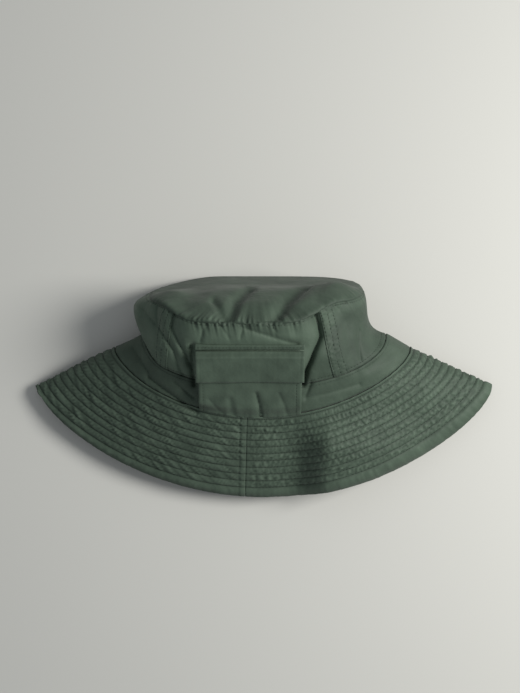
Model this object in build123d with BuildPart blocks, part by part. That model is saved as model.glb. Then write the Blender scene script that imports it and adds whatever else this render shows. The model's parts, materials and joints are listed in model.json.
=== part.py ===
from build123d import *
import os
from dataclasses import dataclass
from math import acos, cos, degrees, radians, sin, sqrt

# A quilted-brim boonie hat with a cargo pocket, lying on its back on the ground.
# +Z is up, away from the ground. +Y runs from the brim to the crown tip, +X to the right.
# The origin is on the ground under the middle of the hat. Lengths in millimetres, angles in degrees.

# ---- Driving dimensions: the whole hat as it lies ----
hat_span = 396.0            # brim corner to brim corner
hat_length = 192.0          # front rim to the top of the crown
hat_height = 106.0          # ground to the front of the tip seam

# ---- Driving dimensions: cloth ----
shell_cloth = 0.7           # nylon shell
lining_cloth = 0.5          # under cloth, sweatband and bindings
interlining_cloth = 0.5     # stiffener inside the brim
strip_cloth = 0.5           # felled seam strips on the outside
thread = 0.3                # stitching, proud of the cloth
seam_gap = 0.6              # gap between cloths that meet at a bent seam
slack = 0.15                # air between a wall and the tapes and label that lie on its inside

# ---- Driving dimensions: trim ----
strip_width = 14.0          # vertical seam strips
binding_width = 9.0         # tapes over the inside seams
label_width = 28.0
label_length = 14.0
row_pitch = 6.9             # between quilting rows
first_row = 3.0             # from the brim seam to the first row
hem_margin = 9.0            # plain cloth outside the last row, at least
topstitch_inset = 3.0       # from a seam to the stitching beside it
stitch_width = 0.6
stitch_air = 0.04           # the thread's rows bridge the hollows of the cloth below

# ---- Driving dimensions: pocket and flap ----
pocket_width = 86.0
pocket_length = 62.0        # brim seam to pocket mouth, along the crown
pocket_depth = 3.0          # clear space inside the pocket, which lies flat and empty
pocket_hem = 9.0            # doubled cloth inside the mouth
flap_overhang = 2.0         # flap past each side of the pocket
flap_length = 28.0          # hinge line to free edge, along the crown
flap_edge = 3.5             # stitched margin above the hinge line
flap_clearance = 0.5        # air between the flap and everything it covers
hinge_lift = 1.6            # flap's hinge line above the crown
tape_width = 12.0           # hook and loop strips
tape_length = 56.0
tape_cloth = 0.6

# ---- Worked out from the sizes above ----
brim_cloth = shell_cloth + interlining_cloth + lining_cloth
crown_middle = -0.02 * hat_span                 # the crown sits a little left of the brim's middle
pocket_middle = crown_middle - 0.012 * hat_span
tip_back_y = hat_length / 2 - shell_cloth / 3
tip_front_y = 0.28 * hat_length
tip_bulge = 0.028 * hat_length                  # the tip bows out between its front and its back
crown_slope = 0.617                             # rise of the crown's front for each step along +Y


@dataclass
class Ring:
    """A seam or rim that runs right round the hat."""

    middle: float       # X of its middle
    reach: float        # half its width
    end: tuple          # (y, z) at its left and right ends
    front: tuple        # (y, z) at the front centre, the upper side of the lying hat
    back: tuple         # (y, z) at the back centre, beside the ground
    fullness: float     # 1 is an elliptical outline seen from above, 0 a parabola
    fold: float         # radius of the turn at the two ends

    def at(self, angle):
        """Point at an angle: 0 right end, 90 front centre, 180 left end, 270 back centre."""
        across = cos(radians(angle))
        up = sin(radians(angle))
        side = 1 if up > 0 else -1
        y_far, z_far = self.front if up > 0 else self.back
        bow = self.fullness * abs(up) + (1 - self.fullness) * up * up
        from_end = degrees(acos(min(1.0, abs(across))))
        turned = side * self.fold * sin(radians(90 * min(1.0, from_end / fold_angle)))
        rise = sqrt(max(0.0, 1 - across ** 4))
        return Vector(
            self.middle + self.reach * across,
            self.end[0] + (y_far - self.end[0]) * bow,
            self.end[1] + turned + (z_far - self.end[1] - turned) * rise,
        )

    def along(self, angle):
        """Direction of the ring, towards larger angles."""
        return (self.at(angle + 1) - self.at(angle - 1)).normalized()


# ---- The tip's bow: an arc in the plane X = 0, from the ground end to the front end ----
tip_upper = Vector(0, tip_front_y, hat_height)
tip_lower = Vector(0, tip_back_y, 0)
tip_chord = (tip_lower - tip_upper).length
tip_out = (tip_lower - tip_upper).normalized().rotate(Axis.X, 90)
tip_mid = (tip_upper + tip_lower) / 2 + tip_out * tip_bulge
tip_radius = (tip_chord ** 2 / 4 + tip_bulge ** 2) / (2 * tip_bulge)
tip_bow_centre = tip_mid - tip_out * tip_radius


class TipRing(Ring):
    """The ring where the crown's wall meets the bowed tip."""

    def at(self, angle):
        point = super().at(angle)
        bow = sqrt(tip_radius ** 2 - (point.Z - tip_bow_centre.Z) ** 2)
        return Vector(point.X, tip_bow_centre.Y + bow, point.Z)


# ---- The rings: tip seam, band seam, brim seam and rim ----
fold_angle = 12.0
crown_front_y = -0.13 * hat_length              # brim seam at the front centre
crown_front_z = hat_height - crown_slope * (tip_front_y - crown_front_y)
band_front_y = 0.0
band_front_z = hat_height - crown_slope * (tip_front_y - band_front_y)
tip_seam = TipRing(crown_middle, 0.2285 * hat_span, (0.43 * hat_length, 0.42 * hat_height),
                   (tip_front_y, hat_height), (tip_back_y, strip_cloth), 1.0, 6.0)
band_seam = Ring(crown_middle / 2, 0.273 * hat_span, (0.24 * hat_length, 0.31 * hat_height),
                 (band_front_y, band_front_z), (0.17 * hat_length, 3 * strip_cloth), 1.0, 6.0)
brim_seam = Ring(crown_middle / 2, 0.328 * hat_span, (0.177 * hat_length, 0.18 * hat_height),
                 (crown_front_y, crown_front_z), (0.04 * hat_length, 8 * thread), 0.5, 5.0)
rim = Ring(0.0, 0.5 * hat_span, (0.007 * hat_length, 0.075 * hat_height),
           (-0.5 * hat_length, 0.17 * hat_height), (-0.4 * hat_length, 0.0), 0.5, 3.5)

# ---- Seams that run down the crown, as angles round the hat ----
front_right = 51.0
front_left = 142.0
back_left = 218.0
back_right = 309.0
front_centre = 95.0
back_centre = 270.0

full_turn = 360.0


def strip_half_angle(seam):
    """Half a seam strip's width as an angle, from how fast the crown's surface runs round at a seam."""
    run = (tip_seam.at(seam + 1) - tip_seam.at(seam - 1)).length
    run += (band_seam.at(seam + 1) - band_seam.at(seam - 1)).length
    return strip_width / 2 / (run / 4)


near_ends = [0, 3, 6, 9, 12]
round_sides = [25, 38, 51, 64, 77, 90]
quadrant = near_ends + round_sides
strip_edges = [
    seam + side * strip_half_angle(seam)
    for seam in (front_right, front_left, back_left, back_right)
    for side in (-1, 1)
]
mirrored = [angle for step in quadrant for angle in (step, 180 - step, 180 + step, full_turn - step)]
all_angles = sorted({round(angle % full_turn, 4) for angle in mirrored + strip_edges + [front_centre]})


def stations(start, stop):
    """Angles from start to stop, through every angle at which a cloth is shaped."""
    turns = [angle + lap for lap in (0, full_turn) for angle in all_angles]
    between = [angle for angle in turns if start < angle < stop]
    return [start] + between + [stop]


def cloth_plane(upper, lower, angle):
    """Plane across the cloth between two rings: X up the cloth, Y into the hat."""
    foot = lower.at(angle)
    climb = upper.at(angle) - foot
    direction = climb.normalized()
    along = upper.along(angle) + lower.along(angle)
    return Plane(foot, x_dir=direction, z_dir=along - direction * along.dot(direction)), climb.length


def cloth(upper, lower, start, stop, depth, inner, reach):
    """Cloth between two rings from angle to angle, from one depth below the surface to another.

    reach gives where the cloth starts and ends along the climb, from the climb's length.
    """
    with BuildPart() as woven:
        for angle in stations(start, stop):
            plane, climb = cloth_plane(upper, lower, angle)
            low, high = reach(climb)
            with BuildSketch(plane):
                with BuildLine():
                    Polyline((low, depth), (high, depth), (high, inner), (low, inner), close=True)
                make_face()
        loft(ruled=True, clean=False)
    return woven.part


os.makedirs("parts", exist_ok=True)


def save(piece, name):
    piece.part.label = name
    export_step(piece.part, f"parts/{name}.step")


# ---- Crown tip: an oval of cloth, bowed about X, sewn to the tops of the crown panels ----
def tip_points(outward):
    """Lower, middle and upper point of the tip's arc in the plane X = 0, as (y, z)."""
    return [
        ((point + tip_out * outward).Y, (point + tip_out * outward).Z)
        for point in (tip_lower, tip_mid, tip_upper)
    ]


with BuildPart() as beyond_tip:
    with BuildSketch(Plane.YZ):
        with BuildLine():
            lower_end, bow_point, upper_end = tip_points(0)
            ThreePointArc(lower_end, bow_point, upper_end)
            Polyline(upper_end, (upper_end[0], 2 * hat_height), (2 * hat_length, 2 * hat_height),
                     (2 * hat_length, -hat_height), (lower_end[0], -hat_height), lower_end)
        make_face()
    extrude(amount=hat_span, both=True)

with BuildPart() as crown_tip:
    with BuildSketch(Plane.YZ):
        with BuildLine():
            low_in, mid_in, high_in = tip_points(0)
            low_out, mid_out, high_out = tip_points(shell_cloth)
            ThreePointArc(low_in, mid_in, high_in)
            ThreePointArc(low_out, mid_out, high_out)
            Line(low_in, low_out)
            Line(high_in, high_out)
        make_face()
    extrude(amount=hat_span / 2, both=True)
    with BuildSketch(Plane.XZ):
        with BuildLine():
            Polyline(*[(tip_seam.at(a).X, tip_seam.at(a).Z) for a in stations(0, full_turn)[:-1]], close=True)
        make_face()
    extrude(amount=hat_length, both=True, mode=Mode.INTERSECT)
save(crown_tip, "crown_tip")


def to_tip(climb):
    """A crown panel runs from the band seam to past the tip, where the tip then trims it."""
    return seam_gap, climb + 4 * shell_cloth


def between_topstitches(climb):
    margin = topstitch_inset + 2 * stitch_width
    return margin, climb - margin


# ---- Upper crown: four panels ----
panel_ends = {
    "front_crown_panel": (front_right, front_left),
    "left_crown_panel": (front_left, back_left),
    "back_crown_panel": (back_left, back_right),
    "right_crown_panel": (back_right, front_right + full_turn),
}
for panel_name, (panel_start, panel_stop) in panel_ends.items():
    with BuildPart() as crown_panel:
        add(cloth(tip_seam, band_seam, panel_start, panel_stop, 0, shell_cloth, to_tip))
        add(beyond_tip.part, mode=Mode.SUBTRACT)
    save(crown_panel, panel_name)

# ---- Vertical seam strips, outside the panel joints ----
strip_seams = {
    "front_right_seam_strip": front_right,
    "front_left_seam_strip": front_left,
    "back_left_seam_strip": back_left,
    "back_right_seam_strip": back_right,
}
for strip_name, seam_angle in strip_seams.items():
    half_angle = strip_half_angle(seam_angle)
    with BuildPart() as seam_strip:
        add(cloth(tip_seam, band_seam, seam_angle - half_angle, seam_angle + half_angle,
                  -strip_cloth, 0, between_topstitches))
    save(seam_strip, strip_name)

# ---- Lower band, brim and sweatband: right and left halves joined at the front and back centres ----
halves = {
    "right": (back_centre, front_centre + full_turn),
    "left": (front_centre, back_centre),
}


def to_seam(climb):
    """Cloth that ends just short of the seam above it."""
    return 0.0, climb - seam_gap


interlining_depth = shell_cloth + interlining_cloth
for half_name, (half_start, half_stop) in halves.items():
    with BuildPart() as lower_band:
        add(cloth(band_seam, brim_seam, half_start, half_stop, 0, shell_cloth, to_seam))
    save(lower_band, f"lower_band_{half_name}")
    with BuildPart() as brim_top:
        add(cloth(brim_seam, rim, half_start, half_stop, 0, shell_cloth, to_seam))
    save(brim_top, f"brim_top_{half_name}")
    with BuildPart() as interlining:
        add(cloth(brim_seam, rim, half_start, half_stop, shell_cloth, interlining_depth, to_seam))
    save(interlining, f"brim_interlining_{half_name}")
    with BuildPart() as brim_under:
        add(cloth(brim_seam, rim, half_start, half_stop, interlining_depth, brim_cloth, to_seam))
    save(brim_under, f"brim_under_{half_name}")

# ---- Inside: sweatband, bindings and a blank label ----
# Each goes right round and meets itself at the back centre, with a hair's gap.
join = 0.3
round_start = back_centre + join
round_stop = back_centre + full_turn - join
lining_depth = shell_cloth + lining_cloth

with BuildPart() as sweatband:
    add(cloth(band_seam, brim_seam, round_start, round_stop, shell_cloth, lining_depth, to_seam))
save(sweatband, "sweatband")

with BuildPart() as tip_seam_binding:
    add(cloth(tip_seam, band_seam, round_start, round_stop, shell_cloth + slack, lining_depth + slack,
              lambda climb: (climb - binding_width, climb + seam_gap)))
    add(beyond_tip.part, mode=Mode.SUBTRACT)
save(tip_seam_binding, "tip_seam_binding")

with BuildPart() as band_seam_binding:
    add(cloth(tip_seam, band_seam, round_start, round_stop, shell_cloth + slack, lining_depth + slack,
              lambda climb: (2 * seam_gap, binding_width + 2 * seam_gap)))
save(band_seam_binding, "band_seam_binding")

label_half_angle = label_width / 2 / ((brim_seam.at(back_centre + 1) - brim_seam.at(back_centre)).length)
with BuildPart() as size_label:
    add(cloth(band_seam, brim_seam, back_centre - label_half_angle, back_centre + label_half_angle,
              lining_depth + slack, lining_depth + slack + thread,
              lambda climb: ((climb - label_length) / 2, (climb + label_length) / 2)))
save(size_label, "size_label")

# ---- Stitching: rows of thread standing proud of the cloth ----
brim_width = (rim.at(front_centre) - brim_seam.at(front_centre)).length
row_count = 1 + int((brim_width - first_row - hem_margin) / row_pitch)


def stitch_row(upper, lower, start, stop, height):
    """One row of thread on the outside of a cloth; height is worked out from the climb."""
    return cloth(upper, lower, start, stop, -thread - stitch_air, -stitch_air,
                 lambda climb: (height(climb), height(climb) + stitch_width))


def quilting_height(row):
    share = 1 - (first_row + row * row_pitch) / brim_width
    return lambda climb: climb * share


with BuildPart() as brim_quilting_thread:
    for row in range(row_count):
        add(stitch_row(brim_seam, rim, round_start, round_stop, quilting_height(row)))
save(brim_quilting_thread, "brim_quilting_thread")

with BuildPart() as tip_seam_thread:
    add(stitch_row(tip_seam, band_seam, round_start, round_stop, lambda climb: climb - topstitch_inset))
save(tip_seam_thread, "tip_seam_thread")

with BuildPart() as band_seam_thread:
    add(stitch_row(tip_seam, band_seam, round_start, round_stop, lambda climb: topstitch_inset))
    add(stitch_row(band_seam, brim_seam, round_start, round_stop, lambda climb: climb - topstitch_inset))
save(band_seam_thread, "band_seam_thread")

# ---- Pocket: X across, Y up the crown's front from the brim seam, Z away from the crown ----
front_tilt = sqrt(1 + crown_slope ** 2)
front_plane = Plane(
    (pocket_middle, crown_front_y, crown_front_z), x_dir=(1, 0, 0),
    z_dir=(0, -crown_slope / front_tilt, 1 / front_tilt),
)
side_plane = Plane(front_plane.origin, x_dir=front_plane.y_dir, z_dir=front_plane.x_dir)
pocket_taper = 4 * pocket_depth                  # the pocket opens up over this much of its length
pocket_top = pocket_depth + shell_cloth


def seam_point(across):
    """The brim seam in the pocket's own plane, a distance across from the pocket's middle."""
    angle = degrees(acos((pocket_middle + across - brim_seam.middle) / brim_seam.reach))
    return front_plane.to_local_coords(brim_seam.at(angle))


flap_width = pocket_width + 2 * flap_overhang
crown_drop = -min(seam_point(-flap_width / 2).Z, seam_point(flap_width / 2).Z)
below_crown = -2 * crown_drop

with BuildPart() as crown_core:
    add(cloth(tip_seam, band_seam, front_right, front_left, -thread, 2 * crown_drop,
              lambda climb: (-1, climb + 1)))
    add(cloth(band_seam, brim_seam, front_right, front_left, -thread, 2 * crown_drop,
              lambda climb: (-1, climb + 1)))


def pocket_outline(inset):
    """The pocket's outline, its bottom curved with the brim seam; inset keeps off sides and bottom."""
    half = pocket_width / 2 - inset
    top = pocket_length + (pocket_length if inset else 0)
    with BuildSketch() as outline:
        with BuildLine():
            left = (-half, seam_point(-half).Y + inset)
            right = (half, seam_point(half).Y + inset)
            ThreePointArc(left, (0, seam_point(0).Y + inset), right)
            Polyline(right, (half, top), (-half, top), left)
        make_face()
    return outline.sketch


with BuildPart() as pocket_front:
    with BuildSketch(side_plane):
        with BuildLine():
            Polyline((0, thread), (pocket_taper, pocket_depth), (pocket_length, pocket_depth),
                     (pocket_length, pocket_top), (pocket_taper - shell_cloth, pocket_top),
                     (-shell_cloth, thread), close=True)
        make_face()
    extrude(amount=pocket_width, both=True)
    with BuildSketch(front_plane):
        add(pocket_outline(0))
    extrude(amount=2 * (pocket_top + crown_drop), both=True, mode=Mode.INTERSECT)
    add(crown_core.part, mode=Mode.SUBTRACT)
save(pocket_front, "pocket_front")

with BuildPart() as pocket_gusset:
    with BuildSketch(side_plane):
        with BuildLine():
            Polyline((-shell_cloth, below_crown), (-shell_cloth, thread), (0, thread),
                     (pocket_taper, pocket_depth), (pocket_length, pocket_depth),
                     (pocket_length, below_crown), close=True)
        make_face()
    extrude(amount=pocket_width, both=True)
    with BuildSketch(front_plane):
        add(pocket_outline(0))
        add(pocket_outline(shell_cloth), mode=Mode.SUBTRACT)
    extrude(amount=2 * (pocket_top + crown_drop), both=True, mode=Mode.INTERSECT)
    add(crown_core.part, mode=Mode.SUBTRACT)
save(pocket_gusset, "pocket_gusset")

with BuildPart() as pocket_mouth_hem:
    with BuildSketch(front_plane.offset(pocket_depth - lining_cloth)):
        with Locations((0, pocket_length - pocket_hem / 2)):
            Rectangle(pocket_width - 4 * shell_cloth, pocket_hem)
    extrude(amount=lining_cloth)
save(pocket_mouth_hem, "pocket_mouth_hem")

# ---- Flap: hinged on its top seam, bent down over the pocket's mouth ----
flap_cloth = lining_cloth + shell_cloth
flap_stand = pocket_top + 2 * tape_cloth + flap_clearance
hinge_height = pocket_length + pocket_top - hinge_lift + flap_cloth + 2 * flap_clearance
flap_end = hinge_height - flap_length
tape_height = flap_end + 4 + tape_width / 2


def flap_line(offset):
    """Root, bend and free edge of one face of the flap, in the side plane."""
    lean = hinge_height + hinge_lift + (offset - flap_cloth / 2) * sqrt(2)
    height = flap_stand + offset
    return [(lean - hinge_lift, hinge_lift), (lean - height, height), (flap_end, height)]


flap_layers = {
    "flap_lining": (0.0, lining_cloth, flap_width - 2 * shell_cloth),
    "flap_shell": (lining_cloth, flap_cloth, flap_width),
}
for layer_name, (layer_in, layer_out, layer_width) in flap_layers.items():
    with BuildPart() as flap_layer:
        with BuildSketch(side_plane):
            with BuildLine():
                Polyline(*flap_line(layer_in), *reversed(flap_line(layer_out)), close=True)
            make_face()
        extrude(amount=layer_width / 2, both=True)
    save(flap_layer, layer_name)

with BuildPart() as flap_hook_strip:
    with BuildSketch(front_plane.offset(flap_stand - tape_cloth)):
        with Locations((0, tape_height)):
            Rectangle(tape_length, tape_width)
    extrude(amount=tape_cloth)
save(flap_hook_strip, "flap_hook_strip")

with BuildPart() as pocket_loop_strip:
    with BuildSketch(front_plane.offset(pocket_top)):
        with Locations((0, tape_height)):
            Rectangle(tape_length, tape_width)
    extrude(amount=tape_cloth)
save(pocket_loop_strip, "pocket_loop_strip")

with BuildPart() as flap_seam_edge:
    edge_start = hinge_height + flap_cloth + flap_clearance
    with BuildSketch(side_plane):
        with BuildLine():
            Polyline((edge_start, below_crown), (edge_start, thread + shell_cloth),
                     (edge_start + flap_edge, thread + shell_cloth),
                     (edge_start + flap_edge, below_crown), close=True)
        make_face()
    extrude(amount=flap_width / 2, both=True)
    add(crown_core.part, mode=Mode.SUBTRACT)
save(flap_seam_edge, "flap_seam_edge")

hinge_point = front_plane.from_local_coords(Vector(0, hinge_height, hinge_lift))
print("flap hinge at", hinge_point)
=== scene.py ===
import json
from bisect import bisect_right
from dataclasses import dataclass, field
from math import acos, cos, degrees, exp, hypot, pi, radians, sin, sqrt

import bmesh
import bpy
from mathutils import Matrix, Vector, noise


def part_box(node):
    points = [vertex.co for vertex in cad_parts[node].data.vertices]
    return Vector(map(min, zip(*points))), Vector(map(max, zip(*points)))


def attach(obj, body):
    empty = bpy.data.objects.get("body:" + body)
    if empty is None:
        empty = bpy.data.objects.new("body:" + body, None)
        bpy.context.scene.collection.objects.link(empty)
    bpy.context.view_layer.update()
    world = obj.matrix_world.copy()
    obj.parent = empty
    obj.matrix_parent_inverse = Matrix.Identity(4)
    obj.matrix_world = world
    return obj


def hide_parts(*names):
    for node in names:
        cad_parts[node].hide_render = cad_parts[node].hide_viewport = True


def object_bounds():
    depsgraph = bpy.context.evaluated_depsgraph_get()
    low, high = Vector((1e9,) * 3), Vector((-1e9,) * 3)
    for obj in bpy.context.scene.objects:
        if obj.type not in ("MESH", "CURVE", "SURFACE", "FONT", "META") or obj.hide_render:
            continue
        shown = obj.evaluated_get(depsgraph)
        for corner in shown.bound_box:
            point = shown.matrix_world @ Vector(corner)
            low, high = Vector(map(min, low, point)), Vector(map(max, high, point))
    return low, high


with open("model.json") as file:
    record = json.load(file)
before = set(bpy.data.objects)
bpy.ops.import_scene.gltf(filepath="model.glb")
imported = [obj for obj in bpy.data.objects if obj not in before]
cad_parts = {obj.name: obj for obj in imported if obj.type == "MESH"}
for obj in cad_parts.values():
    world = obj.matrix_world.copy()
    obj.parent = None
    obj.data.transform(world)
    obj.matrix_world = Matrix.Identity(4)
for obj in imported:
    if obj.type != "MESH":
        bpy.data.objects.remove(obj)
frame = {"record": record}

bl_info = {
    "name": "Boonie Hat",
    "version": (1, 0, 0),
    "blender": (4, 5, 0),
    "location": "3D View > Sidebar > Hat",
    "description": "A quilted-brim boonie hat with a pocket, lying on its back",
    "category": "Add Mesh",
}

# ---- Sizes that come from the frame. All shaping is in millimetres; meshes are written in metres. ----
MM = 0.001
CAD_LOW, CAD_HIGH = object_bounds()
SPAN = (CAD_HIGH.x - CAD_LOW.x) / MM
LENGTH = -2 * CAD_LOW.y / MM
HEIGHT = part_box("crown_tip")[1].z / MM
POCKET_LOW, POCKET_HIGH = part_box("pocket_front")
POCKET_MIDDLE = (POCKET_LOW.x + POCKET_HIGH.x) / 2 / MM
POCKET_WIDTH = (POCKET_HIGH.x - POCKET_LOW.x) / MM
HINGE = frame["record"]["behaviour"]["joints"][0]["pos_m"]
FULL_TURN = 360.0


# ---- Small numeric helpers ----
def clamp(value, low=0.0, high=1.0):
    return max(low, min(high, value))


def smooth(value):
    value = clamp(value)
    return value * value * (3 - 2 * value)


def bell(distance, width):
    return exp(-(distance / width) ** 2)


def ripple(*place):
    """Smooth noise from -1 to 1, the same in every run."""
    return noise.noise(Vector((place + (0.0, 0.0, 0.0))[:3]))


# ---- The hat's rings, the same as in the frame's design ----
FOLD_ANGLE = 12.0
RING_STEP = 0.5


@dataclass
class Ring:
    """A seam or rim that runs round the hat: 0 right end, 90 front centre, 180 left end, 270 back."""

    middle: float
    reach: float
    end: tuple
    front: tuple
    back: tuple
    fullness: float
    fold: float
    lengths: list = field(default_factory=list)

    def at(self, angle):
        across = cos(radians(angle))
        up = sin(radians(angle))
        side = 1 if up > 0 else -1
        y_far, z_far = self.front if up > 0 else self.back
        bow = self.fullness * abs(up) + (1 - self.fullness) * up * up
        from_end = degrees(acos(min(1.0, abs(across))))
        turned = side * self.fold * sin(radians(90 * min(1.0, from_end / FOLD_ANGLE)))
        rise = sqrt(max(0.0, 1 - across ** 4))
        return Vector((
            self.middle + self.reach * across,
            self.end[0] + (y_far - self.end[0]) * bow,
            self.end[1] + turned + (z_far - self.end[1] - turned) * rise,
        ))

    def along(self, angle):
        return (self.at(angle + 1) - self.at(angle - 1)).normalized()

    def measure(self):
        """Length round the ring from angle 0, at every step of two full turns."""
        self.lengths = [0.0]
        steps = int(2 * FULL_TURN / RING_STEP)
        for step in range(steps):
            chord = self.at((step + 1) * RING_STEP) - self.at(step * RING_STEP)
            self.lengths.append(self.lengths[-1] + chord.length)
        return self

    def run(self, angle):
        place = angle / RING_STEP
        step = min(int(place), len(self.lengths) - 2)
        return self.lengths[step] + (self.lengths[step + 1] - self.lengths[step]) * (place - step)

    def angle_at(self, run):
        step = min(max(bisect_right(self.lengths, run) - 1, 0), len(self.lengths) - 2)
        part = (run - self.lengths[step]) / (self.lengths[step + 1] - self.lengths[step])
        return (step + part) * RING_STEP


class TipRing(Ring):
    """The ring where the crown's wall meets the bowed tip."""

    def at(self, angle):
        point = super().at(angle)
        return Vector((point.x, tip_bow(point.z), point.z))


CROWN_MIDDLE = -0.02 * SPAN
CROWN_SLOPE = 0.617
TIP_FRONT = (0.28 * LENGTH, HEIGHT)
TIP_BACK = (0.5 * LENGTH, 0.0)
TIP_BULGE = 0.028 * LENGTH
BRIM_SEAM_FRONT = -0.13 * LENGTH


def tip_bow(height):
    """How far towards +Y the tip's arc stands at a height."""
    chord = hypot(TIP_BACK[0] - TIP_FRONT[0], HEIGHT)
    radius = (chord ** 2 / 4 + TIP_BULGE ** 2) / (2 * TIP_BULGE)
    out_y, out_z = HEIGHT / chord, (TIP_BACK[0] - TIP_FRONT[0]) / chord
    centre_y = (TIP_BACK[0] + TIP_FRONT[0]) / 2 + out_y * (TIP_BULGE - radius)
    centre_z = HEIGHT / 2 + out_z * (TIP_BULGE - radius)
    return centre_y + sqrt(radius ** 2 - (height - centre_z) ** 2)


def slope_height(y):
    """Height of the crown's straight front line at a place along Y."""
    return HEIGHT - CROWN_SLOPE * (TIP_FRONT[0] - y)


TIP_SEAM = TipRing(CROWN_MIDDLE, 0.2285 * SPAN, (0.43 * LENGTH, 0.42 * HEIGHT),
                   TIP_FRONT, (0.5 * LENGTH, 0.5), 1.0, 6.0).measure()
BAND_SEAM = Ring(CROWN_MIDDLE / 2, 0.273 * SPAN, (0.24 * LENGTH, 0.31 * HEIGHT),
                 (0.0, slope_height(0.0)), (0.17 * LENGTH, 1.5), 1.0, 6.0).measure()
BRIM_SEAM = Ring(CROWN_MIDDLE / 2, 0.328 * SPAN, (0.177 * LENGTH, 0.18 * HEIGHT),
                 (BRIM_SEAM_FRONT, slope_height(BRIM_SEAM_FRONT)), (0.04 * LENGTH, 2.4), 0.5, 5.0).measure()
RIM = Ring(0.0, 0.5 * SPAN, (0.007 * LENGTH, 0.075 * HEIGHT),
           (-0.5 * LENGTH, 0.17 * HEIGHT), (-0.4 * LENGTH, 0.0), 0.5, 3.5).measure()

# ---- Cloth thicknesses and sewing sizes, in millimetres ----
SHELL = 0.7
LINING = 0.5
INTERLINING = 0.5
STRIP = 0.5
GUSSET = 0.5
HEM = 0.4
FLAP_SEAM = 0.9
FASTENER = 0.5
LABEL = 0.3
SEAM_GAP = 0.25
FIRST_ROW = 3.0
ROW_PITCH = 6.9
ROW_COUNT = 11
TOPSTITCH = 3.0
STRIP_WIDTH = 14.0
STRIP_STITCH_INSET = 1.6
STRIP_STITCHES = 20
STITCH_HALF = 0.22
INNER_SPACING = 2.2
LABEL_SPACING = 1.5
LABEL_HALF_ANGLE = 6.2
FRONT_RIGHT = 51.0
FRONT_LEFT = 142.0
BACK_LEFT = 218.0
BACK_RIGHT = 309.0
FRONT_CENTRE = 95.0
BACK_CENTRE = 270.0
HALVES = {"right": (BACK_CENTRE, FRONT_CENTRE + FULL_TURN), "left": (FRONT_CENTRE, BACK_CENTRE)}
PANELS = {
    "front": (FRONT_RIGHT, FRONT_LEFT),
    "left": (FRONT_LEFT, BACK_LEFT),
    "back": (BACK_LEFT, BACK_RIGHT),
    "right": (BACK_RIGHT, FRONT_RIGHT + FULL_TURN),
}
STRIPS = {
    "front_right": FRONT_RIGHT,
    "front_left": FRONT_LEFT,
    "back_left": BACK_LEFT,
    "back_right": BACK_RIGHT,
}


# ---- How the cloth lies: creases on the upper side ----
@dataclass
class Crease:
    """A line in the cloth, its depth and its width in millimetres, sharp at its bottom or a soft valley."""

    line: tuple
    depth: float
    width: float
    sharp: bool = True

    def __post_init__(self):
        edge = 3.5 * self.width
        self.low = tuple(min(point[k] for point in self.line) - edge for k in (0, 1))
        self.high = tuple(max(point[k] for point in self.line) + edge for k in (0, 1))

    def fall(self, x, y):
        if not (self.low[0] < x < self.high[0] and self.low[1] < y < self.high[1]):
            return 0.0
        distance = 1e9
        for (ax, ay), (bx, by) in zip(self.line, self.line[1:]):
            dx, dy = bx - ax, by - ay
            part = clamp(((x - ax) * dx + (y - ay) * dy) / (dx * dx + dy * dy))
            distance = min(distance, hypot(x - ax - dx * part, y - ay - dy * part))
        if self.sharp:
            fade = smooth(2 - distance / (1.7 * self.width))
            return self.depth * exp(-distance / (0.6 * self.width)) * fade
        return self.depth * bell(distance, self.width)


# Seen from above, as (x, y).
CREASES = [
    Crease(((38.5, 66), (39.3, 56), (43.4, 46), (45, 38), (40, 30), (33.6, 15), (31, 3.5)), 9.5, 4.2),
    Crease(((-59.8, 36), (-60.4, 20), (-59.4, 2)), 7.5, 3.2),
    Crease(((-74, 62), (-76, 48), (-64, 27), (-62.6, 21.5)), 5.5, 4.2),
    Crease(((-89.4, 63.5), (-88, 49), (-75, 32), (-69.3, 10.7)), 4.0, 3.6),
    Crease(((-106, 72), (-98, 62), (-90, 50)), 5.5, 5.5),
    Crease(((-99.8, 8.5), (-63.3, -17.8), (-58, -20.7)), 4.2, 3.2),
    Crease(((-76, 4.3), (-60, -9)), 3.2, 3.0),
    Crease(((-120, 33), (-101, 12.5)), 3.4, 4.0),
    Crease(((-17, 49.5), (4, 43), (26, 36.2)), 2.6, 3.6),
    Crease(((-51, 48), (-53, 40)), 2.2, 4.0),
    Crease(((-17.6, 53.5), (-20.5, 42)), 1.5, 2.2),
    Crease(((-36, 52), (-30, 42)), 1.3, 2.2),
    Crease(((4, 54), (9, 47)), 1.2, 2.4),
    Crease(((20, 55), (24, 46)), 1.6, 4.0, False),
    Crease(((71, 68), (61, 54)), 2.0, 4.0),
    Crease(((82, 44), (81, 22)), 2.2, 3.6),
    Crease(((68, 44), (76, 14)), 1.4, 4.5, False),
    Crease(((34, -9), (60, -3), (79, 3)), 2.4, 4.0),
    Crease(((38.5, 4.6), (34, -7)), 2.0, 2.6),
    Crease(((44, 8), (58, 9)), 1.2, 3.0),
    Crease(((86, 16), (108, 30)), 1.8, 4.0, False),
    Crease(((-100, 66), (-98, 44)), 2.6, 7.0, False),
    Crease(((-57, 33.5), (32, 33.5)), 2.3, 5.0, False),
]


def brim_wave(x, y):
    """The buckle in the front of the brim: a valley right of the pocket, then a ridge that dies away."""
    out = smooth((-14 - y) / 45)
    climb = smooth((x - 26) / 30)
    fade = 1 - smooth((x - 60) / 110)
    return out * (17.5 * climb * fade - 2 * bell(x - 20, 14))


def settle(point):
    """The crown sinks at its back's left end, and where the tip's seam turns its two front corners."""
    back = 6.5 * smooth((-40 - point.x) / 60) * smooth((point.y - 62) / 28)
    corner = 12 * bell(point.x - 58, 23) + 5 * bell(point.x + 84, 16)
    corner *= smooth((point.y - 22) / 30) * smooth((point.z - 35) / 45)
    return Vector((0.0, corner - back, -0.8 * corner))


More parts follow.
